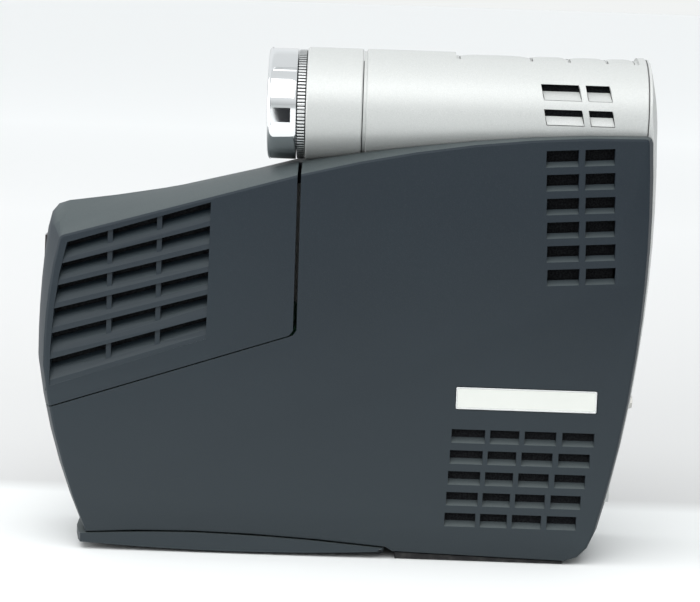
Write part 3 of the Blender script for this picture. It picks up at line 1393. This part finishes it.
# The chassis plate, the boards on it and the screws through the far half.
CHASSIS_REAR_shares = ((0.720, 0.062), (0.800, 0.360), (0.850, 0.830), (0.250, 0.868), (-0.150, 0.845))
CHASSIS_ARM_share = -0.790
CHASSIS_LOW_share = 0.075
POST_shares = ((-0.380, 0.107), (-0.717, 0.716), (0.805, 0.765), (0.660, 0.100))
POST_RADIUS = 3.4 * MM
SCREW_RADIUS = 1.4 * MM
SCREW_HEAD_RADIUS = 2.8 * MM
SCREW_HEAD_THICKNESS = 1.2 * MM
SCREW_SUNK = 0.3 * MM
SCREW_LENGTH = 8.0 * MM
SCREW_SLOT_WIDTH = 0.8 * MM
SCREW_SLOT_DEPTH = 0.6 * MM
SCREW_SLOT_share = 0.62
SCREW_STEPS = 16
SHANK_STEPS = 8
MAIN_BOARD_shares = ((-0.300, 0.160), (0.770, 0.660))
BOARD_THICKNESS = 1.6 * MM
CHIP_BLOCK_shares = ((0.12, 0.20, 0.30, 0.48), (0.45, 0.30, 0.62, 0.52), (0.20, 0.62, 0.40, 0.84),
                     (0.70, 0.60, 0.86, 0.80))
CHIP_BLOCK_HEIGHT = 2.6 * MM
POWER_BOARD_shares = (0.300, 0.170, 0.560)
POWER_BOARD_CLEARANCE = 0.8 * MM
POWER_BLOCK_shares = ((0.08, 0.12, 0.34, 0.50), (0.44, 0.10, 0.60, 0.40), (0.68, 0.12, 0.90, 0.46),
                      (0.12, 0.62, 0.46, 0.88), (0.58, 0.56, 0.84, 0.86))
POWER_BLOCK_HEIGHT = 16.0 * MM
BALLAST_shares = (-0.790, 0.090, -0.500)
BALLAST_CLEARANCE = 9.0 * MM
BALLAST_BLOCK_shares = ((0.12, 0.15, 0.55, 0.60), (0.64, 0.14, 0.88, 0.44), (0.20, 0.70, 0.80, 0.90))
BALLAST_BLOCK_HEIGHT = 15.0 * MM


def board_with_blocks(name, corners, block_shares, near_y, thickness, block_height, direction):
    """A laminate with component blocks standing on one face."""
    (low_x, low_z), (high_x, high_z) = corners
    obj = place(name, block((low_x, near_y, low_z), (high_x, near_y + thickness, high_z)), board())
    for number, (x0, z0, x1, z1) in enumerate(block_shares):
        base = near_y + thickness / 2
        tall = base + direction * (block_height + thickness / 2)
        join(obj, block((low_x + (high_x - low_x) * x0, min(base, tall), low_z + (high_z - low_z) * z0),
                        (low_x + (high_x - low_x) * x1, max(base, tall), low_z + (high_z - low_z) * z1)),
             f"block_{number}")
    return obj


def chassis():
    front = wheel_front()
    arm_x = CHASSIS_ARM_share * HALF_LENGTH
    arm_top = outline_height(arm_x, SHOULDER_ROW) - CASE_WALL - GAP
    arm_low = path_height() - LAMP_TOP_CLEARANCE / 2
    outline = [(front, CHASSIS_LOW_share * CASE_HEIGHT)]
    outline += [case_point(share) for share in CHASSIS_REAR_shares]
    outline += [(arm_x, arm_top), (arm_x, arm_low), (front, arm_low)]
    obj = place("chassis_plate", extrude_y(outline, PLATE_Y, PLATE_Y + PLATE_THICKNESS), alloy())
    for number, share in enumerate(POST_shares):
        x, z = case_point(share)
        post = rod_along("Y", (x, z), POST_RADIUS, PLATE_Y + PLATE_THICKNESS / 2, INNER_Y - GAP,
                         COARSE_STEPS)
        join(obj, post, f"post_{number}")
        cut(obj, rod_along("Y", (x, z), SCREW_RADIUS + GAP, PLATE_Y - OVERRUN, HALF_THICKNESS,
                           THREAD_STEPS), f"thread_{number}")
    plate_back = PLATE_Y + PLATE_THICKNESS + GAP
    main_corners = [case_point(share) for share in MAIN_BOARD_shares]
    board_with_blocks("main_board", main_corners, CHIP_BLOCK_shares, plate_back, BOARD_THICKNESS,
                      CHIP_BLOCK_HEIGHT, 1)
    rear_share, low_share, high_share = POWER_BOARD_shares
    power_front = lamp_fan_front() + LAMP_FAN_DEPTH + POWER_BOARD_CLEARANCE
    power_corners = [(power_front, low_share * CASE_HEIGHT),
                     (rear_share * HALF_LENGTH, high_share * CASE_HEIGHT)]
    board_with_blocks("power_board", power_corners, POWER_BLOCK_shares, PLATE_Y - GAP - BOARD_THICKNESS,
                      BOARD_THICKNESS, POWER_BLOCK_HEIGHT, -1)
    front_share, low_share, rear_share = BALLAST_shares
    ballast_top = path_height() - LAMP_TOP_CLEARANCE - LAMP_DEPTH - LAMP_NECK_LENGTH - BALLAST_CLEARANCE
    ballast_corners = [(front_share * HALF_LENGTH, low_share * CASE_HEIGHT),
                       (rear_share * HALF_LENGTH, ballast_top)]
    board_with_blocks("lamp_ballast", ballast_corners, BALLAST_BLOCK_shares,
                      INNER_Y - GAP - BOARD_THICKNESS, BOARD_THICKNESS, BALLAST_BLOCK_HEIGHT, -1)


def screw_seats(obj):
    for number, share in enumerate(POST_shares):
        x, z = case_point(share)
        floor = HALF_THICKNESS - SCREW_SUNK - SCREW_HEAD_THICKNESS - GAP
        cut(obj, rod_along("Y", (x, z), SCREW_HEAD_RADIUS + GAP, floor, HALF_THICKNESS + OVERRUN,
                           MEDIUM_STEPS), f"screw_seat_{number}")
        cut(obj, rod_along("Y", (x, z), SCREW_RADIUS + GAP, PLATE_Y, HALF_THICKNESS, THREAD_STEPS),
            f"screw_hole_{number}")


def screws():
    for number, share in enumerate(POST_shares):
        x, z = case_point(share)
        face = HALF_THICKNESS - SCREW_SUNK
        under = face - SCREW_HEAD_THICKNESS
        head = rod_along("Y", (x, z), SCREW_HEAD_RADIUS, under, face, SCREW_STEPS)
        obj = place(f"case_screw_{number + 1}", head, alloy())
        shank = rod_along("Y", (x, z), SCREW_RADIUS, face - SCREW_LENGTH, under + SCREW_HEAD_THICKNESS / 2,
                          SHANK_STEPS)
        join(obj, shank, "shank")
        half = SCREW_HEAD_RADIUS * SCREW_SLOT_share
        wide = SCREW_SLOT_WIDTH / 2
        for name, across, along in (("slot_a", half, wide), ("slot_b", wide, half)):
            cut(obj, block((x - across, face - SCREW_SLOT_DEPTH, z - along),
                           (x + across, face + OVERRUN, z + along)), name)


def foot_underside(x):
    """The height of the foot's lower face at one x."""
    points = [case_point(share) for share in FOOT_LOW_shares]
    (x0, z0), (x1, z1), (x2, z2) = points
    if x <= x1:
        part = max(0.0, (x1 - x) / (x1 - x0))
        return z1 + FOOT_LIFT + (z0 - z1) * part * part
    part = min(1.0, (x - x1) / (x2 - x1))
    return z1 + FOOT_LIFT + (z2 - z1) * part * part


def foot_topside(x):
    """The height of the foot's upper face: the case's arched underside less the clearance."""
    return case_underside(x) - FOOT_CLEARANCE


def knuckle_spans():
    """Where the foot's knuckles lie along the pin, beside and between the case's lugs."""
    inner = LUG_NEAR - LUG_CLEARANCE
    outer = LUG_NEAR + LUG_WIDTH + LUG_CLEARANCE
    return (-PIN_HALF_LENGTH, -outer), (-inner, inner), (outer, PIN_HALF_LENGTH)


def tilt_foot():
    """A long shallow tray that fills the arch under the case and swings down about its rear pin."""
    pin_x, pin_z = pin_place()
    rear = pin_x + KNUCKLE_RADIUS / 2
    nose = FOOT_NOSE_share * HALF_LENGTH
    rings = []
    for across in FOOT_DEPTH_shares:
        y = across * HALF_THICKNESS
        front = nose + FOOT_NOSE_CROWN * abs(across) ** 3
        xs = [front + (rear - front) * step / FOOT_STEPS for step in range(FOOT_STEPS + 1)]
        top = [(x, y, foot_topside(x)) for x in xs]
        low = [(x, y, foot_underside(x)) for x in reversed(xs)]
        rings.append(top + low)
    obj = place("tilt_foot", loft(rings), slate(), (pin_x, 0.0, pin_z))
    for number, (low_y, high_y) in enumerate(knuckle_spans()):
        knuckle = rod_along("Y", (pin_x, pin_z), KNUCKLE_RADIUS, low_y, high_y, PIN_STEPS)
        join(obj, knuckle, f"knuckle_{number}")
    start = nose + FOOT_NOSE_CROWN + FOOT_WALL
    end = pin_x - LUG_HALF_LENGTH - LUG_CLEARANCE - FOOT_WALL
    pitch = (end - start + FOOT_WALL) / (FOOT_RIBS + 1)
    pockets = []
    for number in range(FOOT_RIBS + 1):
        low_x = start + number * pitch
        high_x = low_x + pitch - FOOT_WALL
        floor = max(foot_underside(low_x), foot_underside(high_x)) + FOOT_POCKET_FLOOR
        pockets.append(block((low_x, FOOT_WALL - HALF_THICKNESS, floor),
                             (high_x, HALF_THICKNESS - FOOT_WALL, case_underside(low_x) + OVERRUN)))
    cut(obj, several(pockets), "pockets")
    notches = []
    for side in (NEAR, FAR):
        near = side * (LUG_NEAR - LUG_CLEARANCE / 2)
        far = side * (LUG_NEAR + LUG_WIDTH + LUG_CLEARANCE / 2)
        notches.append(block((pin_x - LUG_HALF_LENGTH - LUG_CLEARANCE, min(near, far), -OVERRUN),
                             (rear + OVERRUN, max(near, far), pin_z + OVERRUN)))
    cut(obj, several(notches), "lug_notches")
    cut(obj, pin_hole(PIN_RADIUS + GAP), "pin_bore")
    cut(obj, pad_block(GAP, FOOT_PAD_SUNK + GAP), "pad_seat")
    return obj


def pad_block(margin, sunk):
    low_x, high_x = (share * HALF_LENGTH for share in FOOT_PAD_shares)
    length = high_x - low_x + 2 * margin
    xs = [low_x - margin + length * step / PAD_STEPS for step in range(PAD_STEPS + 1)]
    base = 0.0 if margin == 0 else -OVERRUN
    outline = [(xs[0], base)] + [(x, foot_underside(x) + sunk) for x in xs] + [(xs[-1], base)]
    return extrude_y(outline, -FOOT_PAD_HALF_WIDTH - margin, FOOT_PAD_HALF_WIDTH + margin)


def rear_pad():
    low_x, high_x = (share * HALF_LENGTH for share in REAR_PAD_shares)
    start = case_point(CASE_CURVE_shares[6][2])
    end = case_point(CASE_CURVE_shares[5][2])
    climb = (end[1] - start[1]) / (end[0] - start[0])
    top_low = start[1] + climb * (low_x - start[0]) - GAP
    top_high = start[1] + climb * (high_x - start[0]) - GAP
    outline = [(low_x, 0.0), (low_x, top_low), (high_x, top_high), (high_x, 0.0)]
    place("rear_pad", extrude_y(outline, -REAR_PAD_HALF_WIDTH, REAR_PAD_HALF_WIDTH), rubber())


def foot_parts():
    tilt_foot()
    pin_x, pin_z = pin_place()
    pin = rod_along("Y", (pin_x, pin_z), PIN_RADIUS, -PIN_HALF_LENGTH, PIN_HALF_LENGTH, PIN_STEPS)
    place("foot_pin", pin, alloy())
    place("foot_pad", pad_block(0.0, FOOT_PAD_SUNK), rubber(), (pin_x, 0.0, pin_z))
    rear_pad()


def key_places():
    """Each key: name, front x, length, near y, far y."""
    names = (("menu_pad",), ("back_key", "list_key"), ("source_key", "auto_key"), ("power_key",))
    places = []
    front = FLANGE_REAR_X + KEYPAD_CLEARANCE
    room = TUBE_REAR_X - KEYPAD_SET_BACK - front - KEY_GAP * (len(names) - 1)
    for row, share in zip(names, KEY_LENGTH_shares):
        length = share * room
        if len(row) == 1:
            places.append((row[0], front, length, -KEY_HALF_WIDTH, KEY_HALF_WIDTH))
        else:
            places.append((row[0], front, length, -KEY_HALF_WIDTH, -KEY_SPLIT / 2))
            places.append((row[1], front, length, KEY_SPLIT / 2, KEY_HALF_WIDTH))
        front += length + KEY_GAP
    return places


def keys():
    top = AXIS_Z + TUBE_RADIUS - KEY_SUNK
    bottom = AXIS_Z + TUBE_RADIUS - KEY_DEPTH
    for name, front, length, near, far in key_places():
        outline = [(front, bottom)]
        for step in range(KEY_CROWN_STEPS + 1):
            share = 2 * step / KEY_CROWN_STEPS - 1
            outline.append((front + length * step / KEY_CROWN_STEPS, top - KEY_CROWN * share ** 4))
        outline.append((front + length, bottom))
        obj = place(name, extrude_y(outline, near, far), silver(),
                    (front + length / 2, (near + far) / 2, bottom))
        crown = rod_along("X", AXIS, TUBE_RADIUS - KEY_SUNK, front - OVERRUN, front + length + OVERRUN,
                          CROWN_STEPS)
        keep(obj, crown, "crown")
    places = key_places()
    start = places[0][1]
    end = places[-1][1] + places[-1][2]
    deck = bottom - KEY_TRAVEL - GAP
    place("key_board", block((start, -KEY_BOARD_HALF_WIDTH, deck - KEY_BOARD_THICKNESS),
                             (end, KEY_BOARD_HALF_WIDTH, deck)), board())


def recess_outline(width):
    """The keypad's recess in cross-section: its floor follows the tube."""
    floor = TUBE_RADIUS - KEY_RECESS
    reach = math.asin(width / floor)
    outline = [(width, AXIS_Z + TUBE_RADIUS + OVERRUN), (-width, AXIS_Z + TUBE_RADIUS + OVERRUN)]
    for step in range(RECESS_STEPS + 1):
        angle = reach * (2 * step / RECESS_STEPS - 1)
        outline.append((floor * math.sin(angle), AXIS_Z + floor * math.cos(angle)))
    return outline


def tube_housing():
    front = COLLAR_REAR_X + GAP
    rear = TUBE_REAR_X
    shoulder = front + NECK_LENGTH
    profile = [(front, TUBE_BORE), (front, TUBE_RADIUS - NECK_DEPTH), (shoulder, TUBE_RADIUS - NECK_DEPTH),
               (shoulder, TUBE_RADIUS - BEVEL_SMALL), (shoulder + BEVEL_SMALL, TUBE_RADIUS),
               (rear - BEVEL_SMALL, TUBE_RADIUS), (rear, TUBE_RADIUS - BEVEL_SMALL), (rear, TUBE_BORE)]
    obj = place("tube_housing", turn_x(profile, AXIS, TUBE_STEPS), silver())
    places = key_places()
    start = places[0][1] - KEY_RECESS_MARGIN
    end = places[-1][1] + places[-1][2] + KEY_RECESS_MARGIN
    width = KEY_HALF_WIDTH + KEY_RECESS_MARGIN
    cut(obj, extrude_x(recess_outline(width), start, end), "recess")
    openings = []
    for name, front, length, near, far in places:
        openings.append(block((front - GAP, near - GAP, AXIS_Z),
                              (front + length + GAP, far + GAP, AXIS_Z + TUBE_RADIUS + OVERRUN)))
    for number, opening in enumerate(openings):
        cut(obj, opening, f"key_{number}")
    cut(obj, tube_slots(), "vents")
    port = FLANGE_REAR_X + GAP
    cut(obj, block((port, -TUBE_PORT_HALF, AXIS_Z - TUBE_RADIUS - OVERRUN),
                   (port + PRISM_SIDE, TUBE_PORT_HALF, AXIS_Z - TUBE_BORE / 2)), "light_port")
    return obj


def tube_slots():
    """The vents in both flanks of the tube."""
    prisms = []
    for side in (NEAR, FAR):
        for row in range(TUBE_SLOT_ROWS):
            top = AXIS_Z + TUBE_SLOT_TOP - row * TUBE_SLOT_PITCH
            start = (TUBE_SLOT_FRONT_share + TUBE_SLOT_LEAN_share * row) * HALF_LENGTH
            for low, high in TUBE_SLOT_SPAN_shares:
                front = start + low * HALF_LENGTH
                rear = start + high * HALF_LENGTH
                lean = TUBE_SLOT_LEAN_share * HALF_LENGTH
                rings = []
                depths = ((TUBE_RADIUS + TUBE_WALL, -SILL_RISE / 2), (TUBE_SLOT_INNER_Y, SILL_RISE))
                for depth, rise in depths:
                    rings.append([(front, side * depth, top), (rear, side * depth, top),
                                  (rear + lean, side * depth, top - TUBE_SLOT_HEIGHT + rise),
                                  (front + lean, side * depth, top - TUBE_SLOT_HEIGHT + rise)])
                prisms.append(loft(rings))
    return several(prisms)


def nose_pieces():
    place("remote_window", window_block(0.0, WINDOW_THICKNESS, 0.0), black())
    place("door_catch", catch_block(0.0, CATCH_STANDS), slate())


def build():
    clear_scene()
    lamp_door()
    case_cover("near_cover", NEAR)
    far = case_cover("far_cover", FAR)
    screw_seats(far)
    badge_plate()
    rear_panel()
    sockets()
    tube_housing()
    focus_ring()
    zoom_ring()
    lens_group()
    keys()
    light_engine()
    fans()
    chassis()
    screws()
    foot_parts()
    nose_pieces()


build()
